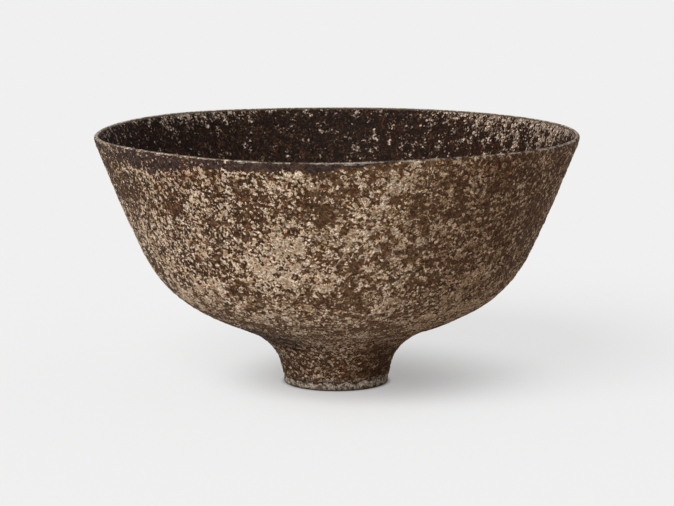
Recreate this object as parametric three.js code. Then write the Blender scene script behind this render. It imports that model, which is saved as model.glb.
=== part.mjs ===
// A footed stoneware bowl. The bowl is thrown on the wheel, the foot is thrown as a ring and luted under it
// with slip, and a gritty coat covers both faces. The lip's crest and a band round the foot's base stay bare.
// Millimetres, Z up, the table at z = 0, everything round the Z axis.
import * as THREE from "three";

// Lip
const RIM_RADIUS = 100;
const RIM_HEIGHT = 105;
const LIP_THICKNESS = 1.8;
const LIP_LEAN = 67; // degrees above the table at which the wall meets the lip

// Clay outline outside: the shoulder, where the belly turns into the wall, and the hip, where it turns into the foot
const SHOULDER = { radius: 81, height: 58.7, lean: 64.7, pullDown: 18.4, pullUp: 18 };
const HIP = { radius: 41.5, height: 25.5, lean: 20.9, pullDown: 11.5, pullUp: 25 };
const LIP_PULL = 15;

// Wall thickness of the clay
const SHOULDER_WALL = 3.6;
const HIP_WALL = 6;
const FLOOR_WALL = 6.4;
const FLOOR_PULL = 20; // how far the floor stays level before it climbs
const HIP_INSIDE_PULL = 12;

// Foot ring
const FOOT_RADIUS = 21.8;
const FOOT_SIDE_HEIGHT = 3; // the side stands plumb up to here, then flares
const FOOT_SIDE_LEAN = 87;
const FOOT_SIDE_PULL = 12;
const FOOT_ARRIS = 0.8; // rounding of the ring's two bottom edges
const RING_LAND = 4.8; // width of the face that the bowl stands on, roundings included
const RING_DRAFT = 1.8; // how much narrower the hollow is at its top
const SEAM_HEIGHT = 17.8; // top of the foot ring
const CEILING_DOME = 1.2; // the bowl's underside is trimmed this much hollow inside the ring

// Slip between the foot and the bowl, with a bead squeezed out into the hollow
const SLIP_THICKNESS = 0.6;
const SLIP_BEAD = 0.5;

// Coats
const OUTER_COAT = 0.5;
const INNER_COAT = 0.45;
const COAT_GAP = 0.02; // hairline between the clay and each coat
const BARE_BAND = 4; // height of the bare clay round the base

// Facets
const AROUND = 48;
const LIP_FACETS = 6;
const ARRIS_FACETS = 2;
const CEILING_FACETS = 3;
const STRETCH_FACETS = { cove: 6, belly: 8, wall: 4, floor: 5 };
const SAME_HEIGHT = 1e-6; // heights this close count as one

const radians = THREE.MathUtils.degToRad;
const point = (radius, height) => new THREE.Vector2(radius, height);
const direction = (lean) => point(Math.cos(radians(lean)), Math.sin(radians(lean)));
const outward = (lean) => point(Math.sin(radians(lean)), -Math.cos(radians(lean)));

// One stretch of an outline, leaving station a and reaching station b along each one's lean.
function stretch(a, b, facets) {
  const curve = new THREE.CubicBezierCurve(
    point(a.radius, a.height),
    point(a.radius, a.height).addScaledVector(direction(a.lean), a.pullUp),
    point(b.radius, b.height).addScaledVector(direction(b.lean), -b.pullDown),
    point(b.radius, b.height),
  );
  return Array.from({ length: facets + 1 }, (_, i) => {
    const t = i / facets;
    const along = curve.getTangent(t);
    return { at: curve.getPoint(t), normal: point(along.y, -along.x) };
  });
}

const joined = (...stretches) => stretches.flatMap((s, i) => (i ? s.slice(1) : s));

// The outline with a point added at each given height, so that the pieces that meet there share it.
function cutAt(outline, heights) {
  const cut = [...outline];
  for (const height of heights) {
    const above = cut.findIndex((p) => p.at.y > height + SAME_HEIGHT);
    const low = cut[above - 1];
    const high = cut[above];
    if (Math.abs(low.at.y - height) < SAME_HEIGHT) continue;
    const t = (height - low.at.y) / (high.at.y - low.at.y);
    cut.splice(above, 0, {
      at: low.at.clone().lerp(high.at, t),
      normal: low.normal.clone().lerp(high.normal, t).normalize(),
    });
  }
  return cut;
}

const between = (outline, low, high) =>
  outline.filter((p) => p.at.y > low - SAME_HEIGHT && p.at.y < high + SAME_HEIGHT);
const on = (outline) => outline.map((p) => p.at.clone());
const off = (outline, distance) => outline.map((p) => p.at.clone().addScaledVector(p.normal, distance));

// Lip: a half round across the wall's lean, widest at RIM_RADIUS and highest at RIM_HEIGHT
const lipRound = LIP_THICKNESS / 2;
const lipCentre = point(RIM_RADIUS - lipRound, RIM_HEIGHT - lipRound);
const lipOutside = lipCentre.clone().addScaledVector(outward(LIP_LEAN), lipRound);
const lipInside = lipCentre.clone().addScaledVector(outward(LIP_LEAN), -lipRound);
const lipCrest = Array.from({ length: LIP_FACETS - 1 }, (_, i) => {
  const turn = radians(LIP_LEAN - 90 + (180 * (i + 1)) / LIP_FACETS);
  return lipCentre.clone().add(point(Math.cos(turn), Math.sin(turn)).multiplyScalar(lipRound));
});

// Outside of the clay, from the foot's side to the lip
const underside = SEAM_HEIGHT + SLIP_THICKNESS;
const side = { radius: FOOT_RADIUS, height: FOOT_SIDE_HEIGHT, lean: FOOT_SIDE_LEAN, pullUp: FOOT_SIDE_PULL };
const lipOut = { radius: lipOutside.x, height: lipOutside.y, lean: LIP_LEAN, pullDown: LIP_PULL };
const outside = cutAt(
  joined(
    stretch(side, HIP, STRETCH_FACETS.cove),
    stretch(HIP, SHOULDER, STRETCH_FACETS.belly),
    stretch(SHOULDER, lipOut, STRETCH_FACETS.wall),
  ),
  [BARE_BAND, SEAM_HEIGHT, underside],
);

// Inside of the clay, from the middle of the floor to the lip: each station lies one wall in from the outside
function inFrom(station, wall, pulls) {
  const normal = outward(station.lean);
  return {
    radius: station.radius - normal.x * wall,
    height: station.height - normal.y * wall,
    lean: station.lean,
    ...pulls,
  };
}
const floorHeight = underside + FLOOR_WALL;
const floorMiddle = { radius: 0, height: floorHeight, lean: 0, pullUp: FLOOR_PULL };
const hipInside = inFrom(HIP, HIP_WALL, { pullDown: HIP_INSIDE_PULL, pullUp: HIP.pullUp });
const shoulderInside = inFrom(SHOULDER, SHOULDER_WALL, { pullDown: SHOULDER.pullDown, pullUp: SHOULDER.pullUp });
const lipIn = { radius: lipInside.x, height: lipInside.y, lean: LIP_LEAN, pullDown: LIP_PULL };
const inside = joined(
  stretch(floorMiddle, hipInside, STRETCH_FACETS.floor),
  stretch(hipInside, shoulderInside, STRETCH_FACETS.belly),
  stretch(shoulderInside, lipIn, STRETCH_FACETS.wall),
);

// A solid turned about the Z axis from its closed outline, given anticlockwise with the radius to the right.
function turned(name, outline, material) {
  const closed = outline[0].x > 0 ? [...outline, outline[0].clone()] : outline;
  const geometry = new THREE.LatheGeometry(closed, AROUND);
  geometry.rotateX(Math.PI / 2);
  const mesh = new THREE.Mesh(geometry, material);
  mesh.name = name;
  return mesh;
}

const stoneware = new THREE.MeshStandardMaterial({ color: 0x8b8173, roughness: 0.9, metalness: 0 });
const slip = new THREE.MeshStandardMaterial({ color: 0x75695b, roughness: 0.95, metalness: 0 });
const mottledCoat = new THREE.MeshStandardMaterial({ color: 0x6d5845, roughness: 0.85, metalness: 0 });
const darkCoat = new THREE.MeshStandardMaterial({ color: 0x33291f, roughness: 0.8, metalness: 0 });

const hollowRadius = FOOT_RADIUS - RING_LAND;
const hollowTop = hollowRadius - RING_DRAFT;

function arris(centre, from) {
  return Array.from({ length: ARRIS_FACETS + 1 }, (_, i) => {
    const turn = radians(from + (90 * i) / ARRIS_FACETS);
    return centre.clone().add(point(Math.cos(turn), Math.sin(turn)).multiplyScalar(FOOT_ARRIS));
  });
}

function footRing() {
  const inner = arris(point(hollowRadius + FOOT_ARRIS, FOOT_ARRIS), 180);
  const outer = arris(point(FOOT_RADIUS - FOOT_ARRIS, FOOT_ARRIS), 270);
  const flank = on(between(outside, FOOT_SIDE_HEIGHT, SEAM_HEIGHT));
  return turned("foot_ring", [...inner, ...outer, ...flank, point(hollowTop, SEAM_HEIGHT)], stoneware);
}

function slipJoint() {
  const flank = on(between(outside, SEAM_HEIGHT, underside));
  const bead = point(hollowTop - SLIP_BEAD, (SEAM_HEIGHT + underside) / 2);
  return turned(
    "slip_joint",
    [bead, point(hollowTop, SEAM_HEIGHT), ...flank, point(hollowTop, underside)],
    slip,
  );
}

function bowlBody() {
  const domeRadius = hollowTop - SLIP_BEAD;
  const ceiling = Array.from({ length: CEILING_FACETS + 1 }, (_, i) => {
    const share = i / CEILING_FACETS;
    return point(domeRadius * share, underside + CEILING_DOME * (1 - share * share));
  });
  const wall = on(between(outside, underside, RIM_HEIGHT));
  return turned("bowl_body", [...ceiling, ...wall, ...lipCrest, ...on(inside).reverse()], stoneware);
}

function outerCoat() {
  const covered = between(outside, BARE_BAND, RIM_HEIGHT);
  const face = off(covered, COAT_GAP + OUTER_COAT);
  return turned("outer_coat", [...face, ...off(covered, COAT_GAP).reverse()], mottledCoat);
}

function innerCoat() {
  const back = off(inside, -COAT_GAP);
  const face = off(inside, -COAT_GAP - INNER_COAT);
  return turned("inner_coat", [...back, ...face.reverse()], darkCoat);
}

const bowl = new THREE.Group();
bowl.add(footRing(), slipJoint(), bowlBody(), outerCoat(), innerCoat());

export default bowl;
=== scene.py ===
# A footed stoneware bowl over its CAD frame: thrown clay, with a crusty mottled coat outside and a dark coat
# inside. Outlines are rows of (radius, height) in mm, and meshes are in metres.
import functools
import math

import bpy
import numpy as np
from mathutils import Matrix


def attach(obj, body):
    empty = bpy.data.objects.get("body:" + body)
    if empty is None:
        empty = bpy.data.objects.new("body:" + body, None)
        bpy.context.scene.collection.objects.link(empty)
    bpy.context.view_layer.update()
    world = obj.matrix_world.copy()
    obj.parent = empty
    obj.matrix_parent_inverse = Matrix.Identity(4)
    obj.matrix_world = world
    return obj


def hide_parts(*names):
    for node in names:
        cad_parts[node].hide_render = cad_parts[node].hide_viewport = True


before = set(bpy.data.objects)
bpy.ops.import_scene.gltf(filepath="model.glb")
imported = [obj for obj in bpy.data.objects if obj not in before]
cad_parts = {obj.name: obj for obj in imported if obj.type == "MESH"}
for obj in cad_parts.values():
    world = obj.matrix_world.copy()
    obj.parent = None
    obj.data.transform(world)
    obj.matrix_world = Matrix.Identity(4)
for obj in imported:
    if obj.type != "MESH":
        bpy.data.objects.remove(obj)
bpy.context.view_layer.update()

MM = 0.001

# Outline of the clay: the CAD model's own stations, in mm and degrees
RIM_RADIUS = 100
RIM_HEIGHT = 105
LIP_THICKNESS = 1.8
LIP_LEAN = 67
LIP_PULL = 15
SHOULDER = {"at": (81, 58.7), "lean": 64.7, "down": 18.4, "up": 18}
HIP = {"at": (41.5, 25.5), "lean": 20.9, "down": 11.5, "up": 25}
SHOULDER_WALL = 3.6
HIP_WALL = 6
HIP_INSIDE_PULL = 12
FLOOR_WALL = 6.4
FLOOR_PULL = 20
FOOT_RADIUS = 21.8
FOOT_SIDE_HEIGHT = 3
FOOT_SIDE_LEAN = 87
FOOT_SIDE_PULL = 12
FOOT_ARRIS = 0.8
RING_LAND = 4.8
RING_DRAFT = 1.8
SEAM_HEIGHT = 17.8
SLIP_THICKNESS = 0.6
SLIP_BEAD = 0.5
CEILING_DOME = 1.2
BARE_BAND = 4
OUTER_COAT = 0.5
INNER_COAT = 0.45

UNDERSIDE = SEAM_HEIGHT + SLIP_THICKNESS
FLOOR_HEIGHT = UNDERSIDE + FLOOR_WALL
HOLLOW_RADIUS = FOOT_RADIUS - RING_LAND
HOLLOW_TOP_RADIUS = HOLLOW_RADIUS - RING_DRAFT

# How the coats' meshes lie on the clay
COAT_GAP = 0.05
OUTER_COAT_END = 72  # degrees round the lip from straight out
INNER_COAT_END = 130
COAT_TAPER = 4  # mm below the lip at which a coat has its full thickness
THIN_END = 0.25  # share of the thickness that is left at the lip

# The hand-thrown pot's departures from round
LIP_WAVES = ((2, 0.12, 1.8), (4, 0.27, -2.7), (5, 0.18, -0.2))  # how many round the lip, mm, shift in radians
OFF_CENTRE = 0.33  # mm that the bowl stands off its foot's axis
OFF_CENTRE_FROM = 0.15  # shares of the height between which the pot moves over
OFF_CENTRE_TO = 0.35

# Fineness of the meshes: points in a full ring, mm between points along an outline, and points in a curve
AROUND = 768
FEWEST_AROUND = 12
SPACING = 0.9
BACK_SPACING = 3
HIDDEN_SPACING = 2
FOOT_SPACING = 0.6
STRETCH_STEPS = 80
LIP_POINTS = 12
ARRIS_POINTS = 6
CEILING_POINTS = 24
HOLLOW_POINTS = 30
ON_AXIS = 1e-6  # mm: a smaller radius counts as none


def direction(lean):
    angle = math.radians(lean)
    return np.array([math.cos(angle), math.sin(angle)])


def outward(lean):
    angle = math.radians(lean)
    return np.array([math.sin(angle), -math.cos(angle)])


def station(at, lean, down=0.0, up=0.0):
    return {"at": tuple(at), "lean": lean, "down": down, "up": up}


def stretch(a, b):
    """Cubic stretch of an outline between two stations, each left and reached along its lean."""
    start = np.array(a["at"], float)
    end = np.array(b["at"], float)
    first = start + direction(a["lean"]) * a["up"]
    second = end - direction(b["lean"]) * b["down"]
    t = np.linspace(0, 1, STRETCH_STEPS + 1)[:, None]
    return (1 - t) ** 3 * start + 3 * t * (1 - t) ** 2 * first + 3 * t**2 * (1 - t) * second + t**3 * end


def joined(*stretches):
    return np.vstack([stretches[0]] + [s[1:] for s in stretches[1:]])


def inside_of(source, wall, down, up):
    """The station of the inner face that lies one wall in from a station of the outer one."""
    return station(np.array(source["at"]) - outward(source["lean"]) * wall, source["lean"], down, up)


def arc_of(points):
    """Distance of each point along an outline from its first."""
    return np.concatenate([[0], np.cumsum(np.linalg.norm(np.diff(points, axis=0), axis=1))])


def spaced(points, step):
    """The same outline with its points about one step apart."""
    arc = arc_of(points)
    count = max(2, round(arc[-1] / step) + 1)
    places = np.linspace(0, arc[-1], count)
    return np.column_stack([np.interp(places, arc, points[:, k]) for k in (0, 1)])


def facing(points, closed=False):
    """Unit normals to the right of the way along an outline."""
    around = np.vstack([points[-1:], points, points[:1]]) if closed else points
    way = np.gradient(around, axis=0)
    way /= np.linalg.norm(way, axis=1)[:, None]
    right = np.column_stack([way[:, 1], -way[:, 0]])
    return right[1:-1] if closed else right


def between(points, low, high):
    """The stretch of an upward outline between two heights, cut at both."""
    low_radius, high_radius = np.interp((low, high), points[:, 1], points[:, 0])
    kept = points[(points[:, 1] > low) & (points[:, 1] < high)]
    return np.vstack([[low_radius, low], kept, [high_radius, high]])


lip_round = LIP_THICKNESS / 2
lip_centre = np.array([RIM_RADIUS - lip_round, RIM_HEIGHT - lip_round])
lip_outside = station(lip_centre + outward(LIP_LEAN) * lip_round, LIP_LEAN, down=LIP_PULL)
lip_inside = station(lip_centre - outward(LIP_LEAN) * lip_round, LIP_LEAN, down=LIP_PULL)
outside = joined(
    stretch(station((FOOT_RADIUS, FOOT_SIDE_HEIGHT), FOOT_SIDE_LEAN, up=FOOT_SIDE_PULL), HIP),
    stretch(HIP, SHOULDER),
    stretch(SHOULDER, lip_outside),
)
hip_inside = inside_of(HIP, HIP_WALL, HIP_INSIDE_PULL, HIP["up"])
shoulder_inside = inside_of(SHOULDER, SHOULDER_WALL, SHOULDER["down"], SHOULDER["up"])
inside = joined(
    stretch(station((0, FLOOR_HEIGHT), 0, up=FLOOR_PULL), hip_inside),
    stretch(hip_inside, shoulder_inside),
    stretch(shoulder_inside, lip_inside),
)


def over_lip(start, end):
    """Points round the lip from one angle to another, in degrees from straight out."""
    turns = np.radians(np.linspace(start, end, LIP_POINTS))
    return lip_centre + lip_round * np.column_stack([np.cos(turns), np.sin(turns)])


outer_line = joined(outside, over_lip(LIP_LEAN - 90, OUTER_COAT_END))
inner_line = joined(inside, over_lip(LIP_LEAN + 90, INNER_COAT_END))


def points_around(radius):
    """Points in a ring: the full number, halved for as long as the ring stays fine enough."""
    count = AROUND
    while count > FEWEST_AROUND and 2 * math.pi * radius / (count // 2) < SPACING:
        count //= 2
    return 1 if radius < ON_AXIS else count


def band(start, count, above_start, above_count):
    """Faces between two rings: of as many points, or one with twice as many, or one a single point."""

    def here(k):
        return start + k % count

    def there(k):
        return above_start + k % above_count

    if count == above_count:
        return [(here(k), here(k + 1), there(k + 1), there(k)) for k in range(count)]
    if count == 1:
        return [(start, there(k + 1), there(k)) for k in range(above_count)]
    if above_count == 1:
        return [(here(k), here(k + 1), above_start) for k in range(count)]
    if count > above_count:
        near = [(here(2 * k), here(2 * k + 1), there(k)) for k in range(above_count)]
        far = [(here(2 * k + 1), here(2 * k + 2), there(k + 1)) for k in range(above_count)]
        return near + far + [(here(2 * k + 1), there(k + 1), there(k)) for k in range(above_count)]
    near = [(here(k), there(2 * k + 1), there(2 * k)) for k in range(count)]
    far = [(here(k + 1), there(2 * k + 2), there(2 * k + 1)) for k in range(count)]
    return near + far + [(here(k), here(k + 1), there(2 * k + 1)) for k in range(count)]


def bands(counts, closed):
    """Faces between rings one above the other, from the number of points in each."""
    starts = np.concatenate([[0], np.cumsum(counts)])
    faces = []
    for row in range(len(counts) if closed else len(counts) - 1):
        above = (row + 1) % len(counts)
        faces += band(starts[row], counts[row], starts[above], counts[above])
    return faces


def store(mesh, name, values):
    """Keeps a number or a vector for each point of a mesh."""
    kind, field = ("FLOAT_VECTOR", "vector") if values.ndim == 2 else ("FLOAT", "value")
    mesh.attributes.new(name, kind, "POINT").data.foreach_set(field, values.ravel())


def link(name, data):
    thing = bpy.data.objects.new(name, data)
    bpy.context.scene.collection.objects.link(thing)
    return thing


def turned(name, outline, reach, arc, levels=None):
    """A mesh turned from an outline, which closes on itself or starts and ends on the axis, anticlockwise.

    reach is the share of a relief that each point of the outline takes, and arc its distance from the rim.
    levels maps an attribute's name to a function of turn and arc. Three more attributes are each point's
    place before the pot is warped (rest), its normal (out), and its turn and arc laid out round the rim
    (wheel).
    """
    closed = outline[0][0] > 0
    normals = facing(outline, closed)
    counts = [points_around(radius) for radius, _ in outline]
    rows = np.repeat(np.arange(len(outline)), counts)
    turns = np.concatenate([2 * math.pi * np.arange(count) / count for count in counts])
    spoke = np.column_stack([np.cos(turns), np.sin(turns)])
    rest = np.column_stack([outline[rows, 0, None] * spoke, outline[rows, 1]])
    mesh = bpy.data.meshes.new(name)
    mesh.from_pydata((warped(rest) * MM).tolist(), [], bands(counts, closed))
    mesh.polygons.foreach_set("use_smooth", [True] * len(mesh.polygons))
    store(mesh, "rest", rest)
    store(mesh, "out", np.column_stack([normals[rows, 0, None] * spoke, normals[rows, 1]]))
    store(mesh, "wheel", np.column_stack([RIM_RADIUS * spoke, arc[rows]]))
    store(mesh, "reach", reach[rows])
    for key, level in (levels or {}).items():
        store(mesh, key, level(turns, arc[rows]))
    return link(name, mesh)


def warped(rest):
    """The points moved by the hand-thrown pot's small departures from round, in mm."""
    turn = np.arctan2(rest[:, 1], rest[:, 0])
    height = np.clip(rest[:, 2] / RIM_HEIGHT, 0, 1)
    wave = sum(high * np.cos(count * turn + shift) for count, high, shift in LIP_WAVES)
    over = np.clip((height - OFF_CENTRE_FROM) / (OFF_CENTRE_TO - OFF_CENTRE_FROM), 0, 1)
    moved = rest.copy()
    moved[:, 0] += OFF_CENTRE * over
    moved[:, 2] += height**3 * wave
    return moved


# Sizes of what the noises draw on the outer coat, in mm
GRAIN = 1.0
FLAKE = 1.1
SCAB = 2.6
CLUSTER = 5
BROAD = 14
BAND_EDGE = 6
STREAK = (26, 26, 5)
LUMP = 12
KNOB = 4.5
DUST = 0.6
GROUND = 1.6
ROUND_FLAKE = 3.8
FILM_CLOUD = 5
OLIVE_CLOUD = 6
RUST_CLOUD = 2.5
GLAZE_CLOUD = 2
CRACK_STRETCH = 4

# The same on the inner coat
INNER_GRAIN = 0.9
INNER_FLAKE = 0.9
INNER_SCAB = 2.4
INNER_CLUSTER = 4
RUN = (3.5, 3.5, 12)
RUDDY_CLOUD = 3
SPECK = 0.9

# The same on the clay and the slip, and the grit in everything
CLAY_PATCH = 3
CLAY_DUST = 0.7
CLAY_FLECK = 0.9
SOILED_RUN = 2
GRIT = 0.55

# Heights and sizes of the bumps in two reliefs, in mm
INNER_BUMPS = ((0.3, 10), (0.5, 3))
CLAY_BUMPS = ((0.35, 6), (0.2, 2))

NOISE_STRIDE = (7.3, -3.1, 5.7)  # how far on each new noise is read
FRAY = 0.6  # size of the noise that frays a flake's edge, over the flake's own
MIX_COLOURS = (6, 7)  # a Mix node's sockets for two colours, and for their mix
MIX_RESULT = 2


class Net:
    """Adds and links nodes in one tree."""

    def __init__(self, tree):
        self.tree = tree
        self.seed = 0

    @functools.cached_property
    def place(self):
        """The point, in mm, that the noises read."""
        return self.vector("rest")

    def add(self, kind, inputs=(), **settings):
        node = self.tree.nodes.new(kind)
        for name, value in settings.items():
            setattr(node, name, value)
        for name, value in dict(inputs).items():
            self.feed(node.inputs[name], value)
        return node

    def feed(self, socket, value):
        if isinstance(value, bpy.types.NodeSocket):
            self.tree.links.new(value, socket)
        else:
            socket.default_value = value

    def spot(self, size, place=None):
        """The point over a size in mm, or over three of them, moved on for each new noise."""
        self.seed += 1
        sizes = size if isinstance(size, tuple) else (size,) * 3
        shares = tuple(1 / s for s in sizes)
        away = tuple(stride * self.seed for stride in NOISE_STRIDE)
        inputs = {0: place or self.place, 1: shares, 2: away}
        return self.add("ShaderNodeVectorMath", inputs, operation="MULTIPLY_ADD").outputs[0]

    def noise(self, size, detail=2.0, rough=0.5, place=None):
        """Noise from 0 to 1, around a half, whose lumps are about half a size in mm across."""
        inputs = {"Vector": self.spot(size, place), "Scale": 1.0, "Detail": detail, "Roughness": rough}
        return self.add("ShaderNodeTexNoise", inputs).outputs[0]

    def flakes(self, size, ragged):
        """For each ragged cell three random levels from 0 to 1, and the distance from its middle."""
        stir = self.add("ShaderNodeTexNoise", {"Vector": self.spot(size * FRAY), "Scale": 1.0, "Detail": 2.0})
        inputs = {0: stir.outputs[1], 1: (ragged,) * 3, 2: self.spot(size)}
        moved = self.add("ShaderNodeVectorMath", inputs, operation="MULTIPLY_ADD").outputs[0]
        cell = self.add("ShaderNodeTexVoronoi", {"Vector": moved, "Scale": 1.0})
        levels = self.add("ShaderNodeSeparateXYZ", {0: cell.outputs["Color"]})
        return *levels.outputs, cell.outputs["Distance"]

    def math(self, operation, *values):
        return self.add("ShaderNodeMath", dict(enumerate(values)), operation=operation).outputs[0]

    def sum(self, *terms):
        """The sum of pairs of a share and a value."""
        total = self.math("MULTIPLY", terms[0][1], terms[0][0])
        for share, value in terms[1:]:
            total = self.math("MULTIPLY_ADD", value, share, total)
        return total

    def blend(self, share, a, b):
        """The value between a and b at a share from 0 to 1."""
        return self.math("MULTIPLY_ADD", self.math("SUBTRACT", b, a), share, a)

    def step(self, value, low, high, floor=0.0, top=1.0):
        """Smooth step of a value, from floor at low to top at high."""
        inputs = {"Value": value, "From Min": low, "From Max": high, "To Min": floor, "To Max": top}
        return self.add("ShaderNodeMapRange", inputs, interpolation_type="SMOOTHSTEP").outputs[0]

    def uneven(self, *parts):
        """A height around 0, from pairs of a height and a size, both in mm."""
        return self.sum(*((high, self.math("SUBTRACT", self.noise(size), 0.5)) for high, size in parts))


class Relief(Net):
    """The nodes that raise a piece's points along their normals."""

    def attribute(self, name, kind):
        return self.add("GeometryNodeInputNamedAttribute", {"Name": name}, data_type=kind).outputs[0]

    def vector(self, name):
        return self.attribute(name, "FLOAT_VECTOR")

    def level(self, name):
        return self.attribute(name, "FLOAT")


class Paint(Net):
    """The nodes of one material. They read 0 for a level that a piece doesn't have."""

    def __init__(self, name, roughness, specular):
        self.material = bpy.data.materials.new(name)
        self.material.use_nodes = True
        super().__init__(self.material.node_tree)
        self.surface = self.tree.nodes["Principled BSDF"]
        self.surface.inputs["Roughness"].default_value = roughness
        self.surface.inputs["Specular IOR Level"].default_value = specular

    def attribute(self, name):
        return self.add("ShaderNodeAttribute", attribute_name=name)

    def vector(self, name):
        return self.attribute(name).outputs["Vector"]

    def level(self, name):
        return self.attribute(name).outputs["Fac"]

    def ramp(self, value, stops):
        """A colour by a value, from pairs of a value and a picture colour."""
        node = self.add("ShaderNodeValToRGB", {"Fac": value})
        node.color_ramp.interpolation = "EASE"
        elements = node.color_ramp.elements
        while len(elements) < len(stops):
            elements.new(1.0)
        for element, (position, colour) in zip(elements, stops):
            element.position = position
            element.color = (*linear(colour), 1)
        return node.outputs[0]

    def mix(self, share, a, b, blend="MIX"):
        """The colour between a and b at a share. Each is a picture colour or another node's."""
        node = self.add("ShaderNodeMix", data_type="RGBA", blend_type=blend)
        self.feed(node.inputs["Factor"], share)
        for socket, value in zip(MIX_COLOURS, (a, b)):
            self.feed(node.inputs[socket], (*linear(value), 1) if isinstance(value, tuple) else value)
        return node.outputs[MIX_RESULT]

    def tint(self, share, colour, by):
        """A colour with a share of another one multiplied in."""
        return self.mix(share, colour, by, blend="MULTIPLY")

    def grit(self):
        """Brightness of sand grains, around 1."""
        level, _, _, _ = self.flakes(GRIT, ragged=0.4)
        return self.math("ADD", level, 0.5)

    def bright(self, colour, share):
        """A colour made lighter or darker by a share around 1."""
        node = self.add("ShaderNodeVectorMath", {0: colour, "Scale": share}, operation="SCALE")
        return node.outputs[0]

    def bump(self, height):
        """Bumps of a height in mm."""
        node = self.add("ShaderNodeBump", {"Height": height, "Distance": MM, "Strength": 1.0})
        self.feed(self.surface.inputs["Normal"], node.outputs[0])

    def colour(self, value):
        self.feed(self.surface.inputs["Base Color"], value)


def linear(colour):
    """A picture colour of 0 to 255, which is sRGB, as Blender's linear one."""
    share = np.array(colour) / 255
    return tuple(np.where(share <= 0.04045, share / 12.92, ((share + 0.055) / 1.055) ** 2.4).tolist())


def raised(piece, relief):
    """Moves each point of a piece out by the height in mm that relief gives, times the point's reach."""
    tree = bpy.data.node_groups.new(piece.name, "GeometryNodeTree")
    for way in ("INPUT", "OUTPUT"):
        tree.interface.new_socket("Geometry", in_out=way, socket_type="NodeSocketGeometry")
    net = Relief(tree)
    height = net.math("MULTIPLY", net.math("MULTIPLY", relief(net), net.level("reach")), MM)
    offset = net.add("ShaderNodeVectorMath", {0: net.vector("out"), "Scale": height}, operation="SCALE")
    came = net.add("NodeGroupInput")
    moved = net.add("GeometryNodeSetPosition", {"Geometry": came.outputs[0], "Offset": offset.outputs[0]})
    net.add("NodeGroupOutput", {0: moved.outputs[0]})
    modifier = piece.modifiers.new("relief", "NODES")
    modifier.node_group = tree
    piece.data = bpy.data.meshes.new_from_object(piece.evaluated_get(bpy.context.evaluated_depsgraph_get()))
    piece.modifiers.clear()


def dressed(piece, node, material):
    piece.data.materials.clear()
    piece.data.materials.append(material)
    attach(piece, "root")
    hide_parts(node)


# Where the outer coat is paler or darker than elsewhere: turn in degrees, mm below the rim, half width and
# half height in mm, and how much
PALE_SPOTS = (
    (-156, 1.5, 18, 2.5, 1.3),
    (-166, 8, 14, 7, -1.3),
    (-156, 20, 18, 9, -2.2),
    (-140, 8.5, 2.4, 2.4, 1.9),
    (-133, 24, 2.8, 2.5, -2.5),
    (-122, 29, 2.8, 2, -2.5),
    (-125, 12, 12, 8, -0.3),
    (-134, 22, 7, 12, -0.7),
    (-120, 26, 7, 5, 0.8),
    (-103, 9, 9, 2.5, 1.0),
    (-86, 2.5, 30, 1.5, -0.8),
    (-110, 2.5, 9, 2, -0.9),
    (-105, 18, 14, 6, -0.9),
    (-92, 20, 8, 8, -1.4),
    (-113, 29, 14, 9, -1.2),
    (-104, 38, 13, 13, 1.0),
    (-113, 45, 12, 8, 0.7),
    (-106, 55, 14, 6, 0.6),
    (-152, 34, 10, 10, 0.6),
    (-139, 55, 8, 6, -0.6),
    (-128, 62, 14, 7, 0.6),
    (-144, 73, 12, 6, 1.2),
    (-118, 75, 16, 6, 0.9),
    (-78, 10, 10, 8, 0.9),
    (-84, 28, 9, 13, 0.8),
    (-75, 64, 6, 5, 0.7),
    (-92, 54, 7, 4, 0.6),
    (-82, 76, 6, 4, 0.6),
    (-72, 45, 8, 6, 0.4),
    (-60, 64, 10, 5, 0.5),
    (-48, 44, 7, 5, -0.8),
    (-47, 56, 10, 6, 2.0),
    (-42, 75, 28, 12, 1.6),
    (-22, 122, 4, 8, 1.2),
    # These two darker spots, low on the left hip, are painted shade under the bowl.
    (-146, 86, 20, 7, -1.6),
    (-140, 98, 16, 7, -0.7),
    (-158, 97, 8, 6, 0.9),
    (-90, 91, 10, 8, -0.8),
    (-84, 99, 6, 5, -0.8),
    (-108, 108, 5, 4, -1.1),
    (-78, 116, 8, 4, 0.7),
)
RUST_SPOTS = (
    (-50, 6, 8, 6, 0.9),
    (-24, 9, 6, 6, 0.8),
    (-128, 6, 16, 6, 0.7),
    (-84, 127, 9, 4, 1.0),
    (-70, 117, 6, 6, 0.8),
    (-112, 122, 5, 6, 0.5),
)
SPOT_RADIUS = 0.85 * RIM_RADIUS  # where a spot's half width is taken

# Changes in the crust all the way round: from and to, in mm below the rim, and how much is added from there
PALE_BANDS = ((80, 104, -0.42), (108, 116, 0.3), (118, 124, -0.6))

# Parts of the way round: the middle turn and the half width, in degrees. -90 is the front, 0 the right end.
BACK = (60, 60)
BROWNER_AND_SHADE_SIDE = (-35, 36)
HIP_SHADE_SIDE = (-152, 44)
FINE_LEFT = (-143, 44)
FINE_RIGHT = (-38, 40)
CALM_SIDE = (-44, 56)
CRACKED_SIDE = (-140, 32)
UNDERLIP_WIDE = (-118, 32)
UNDERLIP_WIDEST = (-148, 20)
DUSTED_LIP = (-66, 36)
LESS_WORN_FRONT = (-64, 48)
LESS_WORN_RIGHT = (-5, 36)
HANDLED_LIP = (-58, 52)
SOILED_FOOT = (-124, 34)
DRIPS_RIGHT = (32, 30)
DRIPS_LEFT = (128, 16)
FEWER_DRIPS = (115, 50)
WARM_INSIDE = (34, 46)

# Where levels rise or fall down the outside, in mm below the rim
HIP_SHADE_RISES = (86, 100)
HIP_SHADE_FALLS = (112, 124)
FINE_LEFT_FALLS = (35, 60)
FINE_RISES = (66, 96)
CALM_RISES = (50, 74)
CALM_EASES = (86, 98)
STREAKS_RISE = (70, 86)
STREAKS_FALL = (106, 114)

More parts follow.
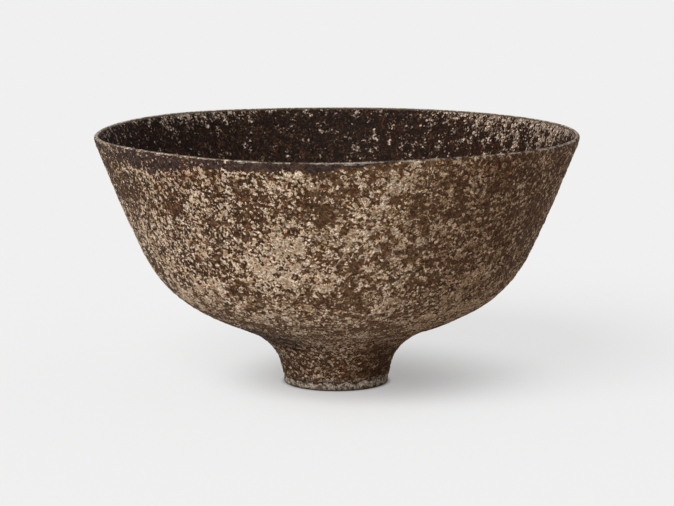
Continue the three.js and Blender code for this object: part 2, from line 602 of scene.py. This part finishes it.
# Half widths and reaches in mm
UNDERLIP = 0.7  # the band's least
UNDERLIP_WIDE_BY = 4.2
UNDERLIP_WIDEST_BY = 5
CREST_WORN = 0.15
INNER_CREST = 0.8
BARE_RAGGED = 1.6
SEAM_CRACK = 0.3
CONTACT_SHADE_HALF = 0.9
DRIP_REACH = 3
DRIP_REACH_LEFT = 8
DRIP_REACH_RIGHT = 15

DUSTING_BELOW = 2  # mm from the rim to the middle of the dusting below the lip
DUSTING_HALF = 0.9
SOILED_RISES = (1.6, 4)  # mm above the table
LAND_CLEAN = 1.4  # mm above the table: the hollow and the resting face take the soiling and painted contact shade that the flank has there


def aside(turn, middle):
    """The angle in radians from a middle in degrees to each turn, the short way round."""
    return np.angle(np.exp(1j * (turn - math.radians(middle))))


def spots(turn, arc, places):
    """The sum of soft spots at a turn and a distance below the rim."""
    total = np.zeros_like(turn)
    for at, below, wide, tall, much in places:
        across = aside(turn, at) * SPOT_RADIUS
        total += much * np.exp(-((across / wide) ** 2) - ((arc - below) / tall) ** 2)
    return total


def below_rim(height):
    """Distance from the lip, down along the outside, to a height or to each of many."""
    along = arc_of(outer_line)
    return np.interp(height, outer_line[:, 1], along[-1] - along)


def eased(value, low, high):
    """Smooth step of a value, from 0 at low to 1 at high."""
    share = np.clip((value - low) / (high - low), 0, 1)
    return share * share * (3 - 2 * share)


def window(turn, middle, half):
    """A level of 1 round a turn in degrees, which falls off about half a width away on either side."""
    return np.exp(-((aside(turn, middle) / math.radians(half)) ** 4))


def bell(distance, half):
    """A level of 1 at no distance, which falls off about half a width away."""
    return np.exp(-((distance / half) ** 2))


# The levels that follow all take a turn in radians and an arc, which is the distance below the rim in mm, or
# on the foot the height. Some need only one of the two.
def pale(turn, arc):
    """How much more crust the outer coat has than elsewhere."""
    more = spots(turn, arc, PALE_SPOTS)
    for start, end, much in PALE_BANDS:
        more = more + much * eased(arc, start, end)
    return more


def rust(turn, arc):
    """How rusty the outer coat is."""
    return spots(turn, arc, RUST_SPOTS)


def underlip(turn, arc):
    """The smooth dark band below the lip, wide left of the front and widest near the left end."""
    wide = UNDERLIP_WIDE_BY * window(turn, *UNDERLIP_WIDE)
    widest = UNDERLIP_WIDEST_BY * window(turn, *UNDERLIP_WIDEST)
    width = UNDERLIP + wide + widest
    return np.exp(-((arc / width) ** 4))


def worn(turn, arc):
    """Wear on the crest of the lip, where the clay shows, and a dusting just below it, right of the front."""
    wear = 1 - 0.3 * window(turn, *LESS_WORN_FRONT) - 0.2 * window(turn, *LESS_WORN_RIGHT)
    dusting = 0.45 * window(turn, *DUSTED_LIP) * bell(arc - DUSTING_BELOW, DUSTING_HALF)
    return wear * bell(arc, CREST_WORN) + dusting


def browner_and_shade(turn, arc):
    """The browner, duller part of the outside, on the right, away from the key light: partly its own colour,
    partly painted shade.
    """
    return window(turn, *BROWNER_AND_SHADE_SIDE)


def painted_hip_shade(turn, arc):
    """Painted shade: a darker patch of coat under the bowl on the left, where shade falls."""
    return window(turn, *HIP_SHADE_SIDE) * eased(arc, *HIP_SHADE_RISES) * (1 - eased(arc, *HIP_SHADE_FALLS))


def fine(turn, arc):
    """Where the flakes are small: high on the left, low down, and in part on the right and behind."""
    left = window(turn, *FINE_LEFT) * (1 - eased(arc, *FINE_LEFT_FALLS))
    right = 0.35 * window(turn, *FINE_RIGHT)
    back = 0.5 * window(turn, *BACK)
    return np.maximum(np.maximum(left, right), np.maximum(back, eased(arc, *FINE_RISES)))


def calm(turn, arc):
    """How much of a brown veil evens out the crust: on the right, low down and in part behind."""
    low = 0.8 * eased(arc, *CALM_RISES) * (1 - 0.45 * eased(arc, *CALM_EASES))
    return 1 - (1 - window(turn, *CALM_SIDE)) * (1 - 0.5 * window(turn, *BACK)) * (1 - low)


def thrown(turn, arc):
    """Where the lines of the throwing streak the crust."""
    return eased(arc, *STREAKS_RISE) * (1 - eased(arc, *STREAKS_FALL))


def bare(turn, arc):
    """The ragged lower edge of the coat on the foot."""
    return bell(below_rim(BARE_BAND) - arc, BARE_RAGGED)


def crack(turn, arc):
    """A dark crack along part of the seam between the bowl and the foot."""
    return window(turn, *CRACKED_SIDE) * bell(arc - below_rim(UNDERSIDE), SEAM_CRACK)


def drips(turn, arc):
    """Where pale drips run down the inner coat: a little all round, and further on the left and the right."""
    right = 1.7 * window(turn, *DRIPS_RIGHT) * bell(arc, DRIP_REACH_RIGHT)
    left = 1.2 * window(turn, *DRIPS_LEFT) * bell(arc, DRIP_REACH_LEFT)
    return 1.2 * bell(arc, DRIP_REACH) + left + right - 0.3 * window(turn, *FEWER_DRIPS)


def crest(turn, arc):
    """The inner coat's upper edge, at the lip's crest, which is painted darker as shade."""
    return bell(arc, INNER_CREST)


def warm(turn, arc):
    """The browner part of the inside, on the right."""
    return window(turn, *WARM_INSIDE)


def handled(turn, arc):
    """Where the lip's bare crest is grey and even from use."""
    return 0.85 * window(turn, *HANDLED_LIP)


def soiled(turn, height):
    """Runs of the coat's colour on the bare band's upper part, more of them on the left."""
    return eased(height, *SOILED_RISES) + 0.4 * window(turn, *SOILED_FOOT)


def painted_contact_shade(turn, height):
    """Painted shade along the edge that the bowl stands on, where it meets the table."""
    return 0.97 * bell(height, CONTACT_SHADE_HALF)


OUTER_LEVELS = {
    "pale": pale,
    "rust": rust,
    "underlip": underlip,
    "worn": worn,
    "browner_and_shade": browner_and_shade,
    "painted_hip_shade": painted_hip_shade,
    "fine": fine,
    "calm": calm,
    "thrown": thrown,
    "bare": bare,
    "crack": crack,
}
INNER_LEVELS = {"pale": drips, "crest": crest, "warm": warm}
FOOT_LEVELS = {"soiled": soiled, "painted_contact_shade": painted_contact_shade}

# Picture colours, red, green and blue from 0 to 255. In a ramp, each comes after the value that it stands at.
# The dip at 0.45 and the peak at 0.56 give each flake a dark outline and a bright rim: partly its own colour,
# partly painted shade and painted highlight of the flakes' relief.
CRUST_RAMP = (
    (0.40, (58, 41, 26)),
    (0.45, (44, 29, 16)),
    (0.475, (79, 55, 36)),
    (0.505, (118, 87, 61)),
    (0.525, (189, 171, 150)),
    (0.56, (221, 208, 192)),
    (0.60, (172, 152, 130)),
    (0.70, (183, 165, 145)),
)
VEIL_RAMP = (
    (0.40, (80, 60, 42)),
    (0.45, (91, 70, 50)),
    (0.50, (110, 87, 65)),
    (0.52, (128, 105, 82)),
    (0.545, (202, 185, 165)),
    (0.60, (158, 140, 121)),
)
ROUND_FLAKE_RAMP = (
    (0.12, (112, 92, 72)),
    (0.24, (170, 151, 126)),
    (0.33, (170, 151, 126)),
    (0.38, (60, 44, 32)),
)
STAIN_RAMP = (
    (0.42, (32, 20, 12)),
    (0.47, (25, 16, 9)),
    (0.50, (52, 38, 28)),
    (0.53, (98, 80, 65)),
    (0.56, (150, 132, 115)),
    (0.59, (186, 170, 155)),
    (0.65, (138, 120, 104)),
)
CLAY_RAMP = (
    (0.4, (90, 76, 63)),
    (0.46, (137, 121, 105)),
    (0.52, (176, 159, 141)),
    (0.62, (205, 190, 172)),
)
SLIP_RAMP = ((0.35, (52, 40, 32)), (0.65, (112, 90, 70)))
PIT = (104, 76, 52)
YELLOWED = (247, 220, 188)
FILM = (237, 214, 192)
OLIVE = (242, 238, 220)
# The right side's tint: partly its own browner colour, partly painted shade.
BROWNER_AND_SHADE = (208, 198, 186)
HIP_SHADE = (152, 142, 134)
RUST = (208, 150, 118)
DARK_GLAZE = (50, 43, 43)
LIGHT_GLAZE = (82, 66, 59)
BAND_TINT = (203, 190, 183)
BARE_CLAY = (150, 134, 117)
WORN_CLAY = (140, 126, 112)
CRACK = (20, 14, 10)
RUDDY = (78, 52, 38)
WARM = (255, 232, 203)
CREST_SHADE_COLOUR = (90, 78, 68)
SOILED = (72, 54, 40)
HANDLED = (134, 122, 111)
CONTACT_SHADE = (26, 20, 16)

# What is taken off the sums of noises, and the middle that the crust's sum is put round
FINE_EXCESS = 0.035
CRUST_AVERAGE = 0.59
CRUST_MIDDLE = 0.49
OUTER_RELIEF_AVERAGE = 0.75
STAIN_EXCESS = 0.217


def crust(net):
    """The outer coat's levels: its cover, which is how thick a crust of pale flakes lies on it, around a
    half, its grain, each flake's own shade and hue, and the smooth band below the lip."""
    grain = net.noise(GRAIN, detail=2, rough=0.6)
    flake, shade, hue, _ = net.flakes(FLAKE, ragged=0.7)
    scab, _, _, _ = net.flakes(SCAB, ragged=0.45)
    cluster = net.noise(CLUSTER, detail=3, rough=0.55)
    broad = net.noise(BROAD, detail=2)
    coarse = net.sum((0.25, grain), (0.18, flake), (0.15, scab), (0.4, cluster))
    small = net.math("SUBTRACT", net.sum((0.55, grain), (0.36, flake), (0.14, cluster)), FINE_EXCESS)
    flaky = net.blend(net.level("fine"), coarse, small)
    cover = net.sum((1.0, flaky), (0.2, broad), (0.08, net.level("pale")))
    contrast = net.math("MULTIPLY_ADD", net.level("calm"), -0.35, 1.0)
    cover = net.math("MULTIPLY_ADD", net.math("SUBTRACT", cover, CRUST_AVERAGE), contrast, CRUST_MIDDLE)
    edge = net.noise(BAND_EDGE, detail=3)
    smooth = net.step(net.sum((1.0, net.level("underlip")), (1.4, edge)), 1.0, 1.4)
    streak = net.noise(STREAK, detail=2, place=net.vector("wheel"))
    streaks = net.math("MULTIPLY", net.math("SUBTRACT", streak, 0.5), net.level("thrown"))
    # The browner right side takes a little less crust, as part of its painted shade.
    cover = net.sum((1.0, cover), (-0.14, smooth), (-0.017, net.level("browner_and_shade")), (0.5, streaks))
    return {"cover": cover, "grain": grain, "shade": shade, "hue": hue, "band": smooth}


def outer_relief(net):
    """The crust and the wall's lumps and knobs, in mm, with the crack along the seam."""
    levels = crust(net)
    flake = net.step(levels["cover"], 0.46, 0.56)
    lumps = net.noise(LUMP, detail=2)
    knobs = net.noise(KNOB, detail=2)
    parts = (0.22, flake), (0.5, lumps), (0.45, knobs), (0.3, levels["grain"]), (-0.5, net.level("crack"))
    return net.math("SUBTRACT", net.sum(*parts), OUTER_RELIEF_AVERAGE)


def veil(net, tone):
    """The duller colours of the crust under a brown veil, with round flakes: a pale ring and a dark edge."""
    colour = net.ramp(tone, VEIL_RAMP)
    chosen, _, _, distance = net.flakes(ROUND_FLAKE, ragged=0.25)
    within = net.step(distance, 0.38, 0.44, floor=1.0, top=0.0)
    shown = net.math("MULTIPLY", within, net.step(chosen, 0.78, 0.8))
    return net.mix(shown, colour, net.ramp(distance, ROUND_FLAKE_RAMP))


def flaked(net, tone, levels):
    """The crust's flakes, each of its own shade, the pits in their ground, and the veil over them."""
    colour = net.ramp(tone, CRUST_RAMP)
    ground = net.step(net.noise(GROUND, detail=3, rough=0.6), 0.48, 0.58, top=0.8)
    pit = net.math("MULTIPLY", net.step(tone, 0.43, 0.47, floor=1.0, top=0.0), ground)
    colour = net.mix(net.math("MULTIPLY", net.level("calm"), 0.85), colour, veil(net, tone))
    colour = net.mix(pit, colour, PIT)
    colour = net.bright(colour, net.math("MULTIPLY_ADD", levels["shade"], 0.6, 0.72))
    return net.tint(net.step(levels["shade"], 0, 0.75, floor=0.75, top=0.0), colour, YELLOWED)


def tinted(net, colour, tone, levels):
    """The crust's colour with its film, olive and rusty clouds, browner right side, which is partly painted
    shade, and painted hip shade.
    """
    cloud = net.sum((0.7, net.noise(FILM_CLOUD, detail=3, rough=0.6)), (0.3, levels["hue"]))
    thinned = net.step(tone, 0.535, 0.565, floor=1.0, top=0.5)
    film = net.math("MULTIPLY", net.step(cloud, 0.48, 0.62, top=0.6), thinned)
    colour = net.tint(film, colour, FILM)
    cloud = net.sum((0.8, net.noise(OLIVE_CLOUD, detail=3, rough=0.6)), (-0.2, levels["hue"]))
    colour = net.tint(net.step(cloud, 0.28, 0.4, top=0.5), colour, OLIVE)
    # The browner right side: its own colour and partly painted shade away from the key light.
    colour = net.tint(net.level("browner_and_shade"), colour, BROWNER_AND_SHADE)
    # Painted shade low on the left hip, under the bowl.
    colour = net.tint(net.level("painted_hip_shade"), colour, HIP_SHADE)
    rusty = net.math("MULTIPLY", net.level("rust"), net.step(net.noise(RUST_CLOUD, detail=3), 0.42, 0.58))
    return net.tint(rusty, colour, RUST)


def edged(net, colour, tone, levels):
    """The crust's colour with the band below the lip, clay showing at foot and crest, and the crack."""
    smooth = net.math("MULTIPLY", levels["band"], net.step(tone, 0.38, 0.5, floor=0.9, top=0.0))
    glazed = net.step(net.noise(GLAZE_CLOUD, detail=3, rough=0.6), 0.43, 0.56)
    colour = net.mix(smooth, colour, net.mix(glazed, DARK_GLAZE, LIGHT_GLAZE))
    colour = net.tint(net.math("MULTIPLY", levels["band"], 0.7), colour, BAND_TINT)
    shown = net.step(net.sum((0.45, net.level("bare")), (1.0, levels["grain"])), 0.86, 0.98)
    colour = net.mix(shown, colour, BARE_CLAY)
    wear = net.step(net.sum((0.6, net.level("worn")), (1.0, levels["grain"])), 0.8, 1.05)
    colour = net.mix(wear, colour, WORN_CLAY)
    gap = net.math("MULTIPLY", net.level("crack"), net.step(net.noise(CRACK_STRETCH), 0.4, 0.55, top=0.75))
    return net.mix(gap, colour, CRACK)


def crust_paint():
    net = Paint("mottled_coat", roughness=0.8, specular=0.12)
    levels = crust(net)
    dust = net.noise(DUST, detail=2, rough=0.6)
    dusty = net.math("MULTIPLY_ADD", net.level("fine"), 0.25, 0.2)
    dusting = net.math("MULTIPLY", net.math("SUBTRACT", dust, 0.5), dusty)
    tone = net.math("ADD", levels["cover"], dusting)
    colour = flaked(net, tone, levels)
    colour = tinted(net, colour, tone, levels)
    colour = edged(net, colour, tone, levels)
    net.colour(net.bright(colour, net.grit()))
    net.bump(net.sum((0.3, net.step(levels["cover"], 0.44, 0.54)), (0.35, dust), (0.5, levels["grain"])))
    return net.material


def outer_coat(low, high, name, material):
    """The outer coat between two heights: its face and, near the clay, its back."""
    front = spaced(between(outer_line, low, high), SPACING)
    back = spaced(front, BACK_SPACING)
    arc_front = below_rim(front[:, 1])
    arc_back = below_rim(back[:, 1])
    thin = np.clip(arc_front / COAT_TAPER, THIN_END, 1)
    front = front + facing(front) * thin[:, None] * OUTER_COAT
    back = back + facing(back) * COAT_GAP
    outline = np.vstack([front, back[::-1]])
    reach = np.concatenate([thin, np.zeros(len(back))])
    piece = turned(name, outline, reach, np.concatenate([arc_front, arc_back[::-1]]), OUTER_LEVELS)
    raised(piece, outer_relief)
    dressed(piece, "outer_coat", material)


def inner_relief(net):
    return net.uneven(*INNER_BUMPS)


def stain(net):
    """How thick a pale crust lies on the inner coat, which is dark below a half, its grain, and each flake's
    own shade."""
    grain = net.noise(INNER_GRAIN, detail=2, rough=0.6)
    fleck, shade, _, _ = net.flakes(INNER_FLAKE, ragged=0.7)
    scab, _, _, _ = net.flakes(INNER_SCAB, ragged=0.5)
    cluster = net.noise(INNER_CLUSTER, detail=3, rough=0.6)
    run = net.noise(RUN, detail=2, place=net.vector("wheel"))
    parts = (0.3, grain), (0.2, fleck), (0.12, scab), (0.35, cluster), (0.3, run), (0.06, net.level("pale"))
    return net.math("SUBTRACT", net.sum(*parts), STAIN_EXCESS), grain, shade


def inner_paint():
    net = Paint("dark_coat", roughness=0.75, specular=0.12)
    cover, grain, shade = stain(net)
    colour = net.ramp(cover, STAIN_RAMP)
    patches = net.step(net.noise(RUDDY_CLOUD, detail=3, rough=0.6), 0.45, 0.58)
    ruddy = net.math("MULTIPLY", net.step(grain, 0.48, 0.62), patches)
    speck = net.noise(SPECK, detail=2, rough=0.6)
    brightness = net.math("SUBTRACT", net.sum((1.0, shade), (2.8, speck)), 0.95)
    colour = net.bright(colour, net.math("MAXIMUM", brightness, 0.25))
    stained = net.math("MULTIPLY", ruddy, net.step(cover, 0.47, 0.51, floor=0.95, top=0.0))
    colour = net.mix(stained, colour, RUDDY)
    warmed = net.math("MULTIPLY", net.level("warm"), net.step(cover, 0.49, 0.54, floor=1.0, top=0.15))
    colour = net.tint(warmed, colour, WARM)
    # Painted shade along the lip's crest, on the inner coat's upper edge.
    colour = net.mix(net.step(net.level("crest"), 0.3, 0.8), colour, CREST_SHADE_COLOUR)
    net.colour(net.bright(colour, net.grit()))
    net.bump(net.sum((0.3, net.step(cover, 0.5, 0.6)), (0.5, grain)))
    return net.material


def inner_coat():
    """The inner coat: its back, near the clay, and its face."""
    front = spaced(inner_line, SPACING)
    back = spaced(front, BACK_SPACING)
    arc_front = arc_of(front)[-1] - arc_of(front)
    arc_back = arc_of(back)[-1] - arc_of(back)
    thin = np.clip(arc_front / COAT_TAPER, THIN_END, 1)
    front = front - facing(front) * thin[:, None] * INNER_COAT
    back = back - facing(back) * COAT_GAP
    front[0, 0] = back[0, 0] = 0
    outline = np.vstack([back, front[::-1]])
    reach = np.concatenate([np.zeros(len(back)), thin[::-1]])
    piece = turned("coat_inside", outline, reach, np.concatenate([arc_back, arc_front[::-1]]), INNER_LEVELS)
    raised(piece, inner_relief)
    dressed(piece, "inner_coat", inner_paint())


def clay_paint():
    net = Paint("stoneware", roughness=0.9, specular=0.15)
    patch = net.noise(CLAY_PATCH, detail=4, rough=0.6)
    dust = net.noise(CLAY_DUST, detail=2, rough=0.6)
    fleck, _, _, _ = net.flakes(CLAY_FLECK, ragged=0.6)
    colour = net.ramp(net.sum((0.6, patch), (0.2, dust), (0.2, fleck)), CLAY_RAMP)
    runs = net.sum((0.3, net.level("soiled")), (1.0, net.noise(SOILED_RUN, detail=3, rough=0.6)))
    colour = net.mix(net.step(runs, 0.74, 0.84), colour, SOILED)
    colour = net.mix(net.level("handled"), colour, HANDLED)
    # Painted shade along the edge that the foot stands on.
    colour = net.mix(net.level("painted_contact_shade"), colour, CONTACT_SHADE)
    net.colour(net.bright(colour, net.grit()))
    net.bump(net.sum((0.4, dust), (0.3, patch)))
    return net.material


def slip_paint():
    net = Paint("slip", roughness=0.9, specular=0.2)
    patch = net.noise(CLAY_PATCH, detail=4, rough=0.6)
    net.colour(net.ramp(patch, SLIP_RAMP))
    net.bump(net.sum((0.4, patch)))
    return net.material


def clay_relief(net):
    return net.uneven(*CLAY_BUMPS)


def bowl_body(material):
    """The clay of the bowl. Only its underside and the lip's crest take a relief: coats hide the rest."""
    share = np.linspace(0, 1, CEILING_POINTS)
    domed = UNDERSIDE + CEILING_DOME * (1 - share**2)
    ceiling = np.column_stack([(HOLLOW_TOP_RADIUS - SLIP_BEAD) * share, domed])
    wall = spaced(between(outside, UNDERSIDE, lip_outside["at"][1]), HIDDEN_SPACING)
    lip = over_lip(LIP_LEAN - 90, LIP_LEAN + 90)
    cavity = spaced(inside, HIDDEN_SPACING)
    outline = np.vstack([ceiling, wall[:-1], lip, cavity[::-1][1:]])
    reach = np.zeros(len(outline))
    first = len(ceiling) + len(wall) - 1
    reach[: len(ceiling) - 1] = 1
    reach[first : first + len(lip)] = np.sin(np.linspace(0, math.pi, len(lip))) ** 0.5
    piece = turned("bowl_clay", outline, reach, np.zeros(len(outline)), {"handled": handled})
    raised(piece, clay_relief)
    dressed(piece, "bowl_body", material)


RELIEF_FADE = 1.5  # mm from the table and from the seam over which the foot's relief fades in
COVERED_MARGIN = 1  # mm above the bare band from which the coat hides the flank


def quarter(centre, start):
    """A quarter of the foot's rounded edge, from a starting angle, anticlockwise."""
    turns = np.radians(np.linspace(start, start + 90, ARRIS_POINTS))
    return np.array(centre) + FOOT_ARRIS * np.column_stack([np.cos(turns), np.sin(turns)])


def foot_ring(material):
    """The foot ring. Its flank takes no relief where the coat hides it."""
    hollow = np.linspace([HOLLOW_TOP_RADIUS, SEAM_HEIGHT], [HOLLOW_RADIUS, FOOT_ARRIS], HOLLOW_POINTS)
    inner = quarter((HOLLOW_RADIUS + FOOT_ARRIS, FOOT_ARRIS), 180)
    outer = quarter((FOOT_RADIUS - FOOT_ARRIS, FOOT_ARRIS), 270)
    flank = spaced(between(outside, FOOT_SIDE_HEIGHT, SEAM_HEIGHT), FOOT_SPACING)
    outline = np.vstack([hollow[:-1], inner, outer, [FOOT_RADIUS, LAND_CLEAN], flank])
    radius, height = outline.T
    reach = np.clip(height / RELIEF_FADE, 0, 1) * np.clip((SEAM_HEIGHT - height) / RELIEF_FADE, 0, 1)
    reach[(radius > HOLLOW_RADIUS + COVERED_MARGIN) & (height > BARE_BAND + COVERED_MARGIN)] = 0
    # Heights for the soiling and the painted contact shade: the hollow and the resting face take the flank's
    # at LAND_CLEAN.
    soil_and_shade_height = height.copy()
    soil_and_shade_height[: len(hollow) + len(inner)] = LAND_CLEAN
    piece = turned("foot_clay", outline, reach, soil_and_shade_height, FOOT_LEVELS)
    raised(piece, clay_relief)
    dressed(piece, "foot_ring", material)


def slip_joint():
    top = [HOLLOW_TOP_RADIUS, UNDERSIDE]
    bead = [HOLLOW_TOP_RADIUS - SLIP_BEAD, (SEAM_HEIGHT + UNDERSIDE) / 2]
    bottom = [HOLLOW_TOP_RADIUS, SEAM_HEIGHT]
    outline = np.vstack([top, bead, bottom, between(outside, SEAM_HEIGHT, UNDERSIDE)])
    piece = turned("slip_bead", outline, np.zeros(len(outline)), np.zeros(len(outline)))
    dressed(piece, "slip_joint", slip_paint())


# Camera, fitted to the rim and the foot in the photograph: metres, degrees below level, and lens in mm
CAMERA_PLACE = (0.0004, -1.038, 0.2233)
CAMERA_DIP = 9.25
CAMERA_LENS = 134.7
CAMERA_REACH = 50

# Light: a soft key from the left in front, in degrees, and the room, which gives the rest of the light
KEY_LEFT = 32
KEY_HEIGHT = 42
KEY_SPREAD = 40
KEY_SHARE = 0.6
WHITE = (1, 1, 1, 1)
BACKDROP = (0.871, 0.871, 0.871, 1)  # linear, for the floor and behind it

# Floor, in metres. The camera sees a share of the floor's own colour in place of the light on it.
FLOOR_REACH = 20
FLOOR_LIFT_NEAR = 0.37  # that share near the foot, and far from it
FLOOR_LIFT_FAR = 0.78
FLOOR_NEAR = 0.025  # distances from the middle that count as near and far
FLOOR_FAR = 0.105
FLOOR_LEFT_SHARE = 0.8  # on the left, how much of the distance to that side is added
CONTACT_START = 0.0212  # none of that share up to the foot's edge
CONTACT_END = 0.0235  # all of it from here on


def camera():
    view = link("camera", bpy.data.cameras.new("camera"))
    view.data.lens = CAMERA_LENS
    view.data.clip_end = CAMERA_REACH
    view.location = CAMERA_PLACE
    view.rotation_euler = (math.radians(90 - CAMERA_DIP), 0, 0)
    bpy.context.scene.camera = view


def key_light():
    """A sun that gives level ground the key's share of full light."""
    lamp = link("key", bpy.data.lights.new("key", "SUN"))
    lamp.data.angle = math.radians(KEY_SPREAD)
    lamp.data.energy = math.pi * KEY_SHARE / math.sin(math.radians(KEY_HEIGHT))
    lamp.rotation_euler = (math.radians(90 - KEY_HEIGHT), 0, math.radians(-KEY_LEFT))


def shown_to_camera(net, output, lit, own, share):
    """Ends a tree in a lit surface, mixed for the camera alone with a share of one that shines by itself."""
    camera_ray = net.add("ShaderNodeLightPath").outputs["Is Camera Ray"]
    inputs = {0: net.math("MULTIPLY", camera_ray, share), 1: lit.outputs[0], 2: own.outputs[0]}
    surface = net.add("ShaderNodeMixShader", inputs).outputs[0]
    net.feed(net.tree.nodes[output].inputs["Surface"], surface)


def room():
    world = bpy.data.worlds.new("room")
    world.use_nodes = True
    net = Net(world.node_tree)
    light = net.tree.nodes["Background"]
    light.inputs["Color"].default_value = WHITE
    light.inputs["Strength"].default_value = 1 - KEY_SHARE
    backdrop = net.add("ShaderNodeBackground", {"Color": BACKDROP})
    shown_to_camera(net, "World Output", light, backdrop, 1.0)
    bpy.context.scene.world = world


def floor_paint():
    """The floor keeps more of the shadow near the foot and on the right, and all of it at the foot's edge."""
    net = Paint("floor", roughness=1, specular=0)
    net.colour(BACKDROP)
    own = net.add("ShaderNodeEmission", {"Color": BACKDROP})
    point = net.add("ShaderNodeTexCoord").outputs["Object"]
    distance = net.add("ShaderNodeVectorMath", {0: point}, operation="LENGTH").outputs["Value"]
    across = net.add("ShaderNodeSeparateXYZ", {0: point}).outputs[0]
    leftward = net.math("MAXIMUM", net.math("MULTIPLY", across, -FLOOR_LEFT_SHARE), 0)
    away = net.math("ADD", distance, leftward)
    lift = net.step(away, FLOOR_NEAR, FLOOR_FAR, floor=FLOOR_LIFT_NEAR, top=FLOOR_LIFT_FAR)
    contact = net.add(
        "ShaderNodeMapRange", {"Value": distance, "From Min": CONTACT_START, "From Max": CONTACT_END}
    ).outputs["Result"]
    shown_to_camera(net, "Material Output", net.surface, own, net.math("MULTIPLY", lift, contact))
    return net.material


def floor():
    mesh = bpy.data.meshes.new("floor")
    corners = [(x * FLOOR_REACH, y * FLOOR_REACH, 0) for x, y in ((-1, -1), (1, -1), (1, 1), (-1, 1))]
    mesh.from_pydata(corners, [], [(0, 1, 2, 3)])
    mesh.materials.append(floor_paint())
    link("floor", mesh)


bpy.context.scene.view_settings.view_transform = "Standard"
camera()
key_light()
room()
floor()

clay = clay_paint()
crusty = crust_paint()
bowl_body(clay)
foot_ring(clay)
slip_joint()
outer_coat(UNDERSIDE, outer_line[-1][1], "coat_on_bowl", crusty)
outer_coat(BARE_BAND, UNDERSIDE, "coat_on_foot", crusty)
inner_coat()
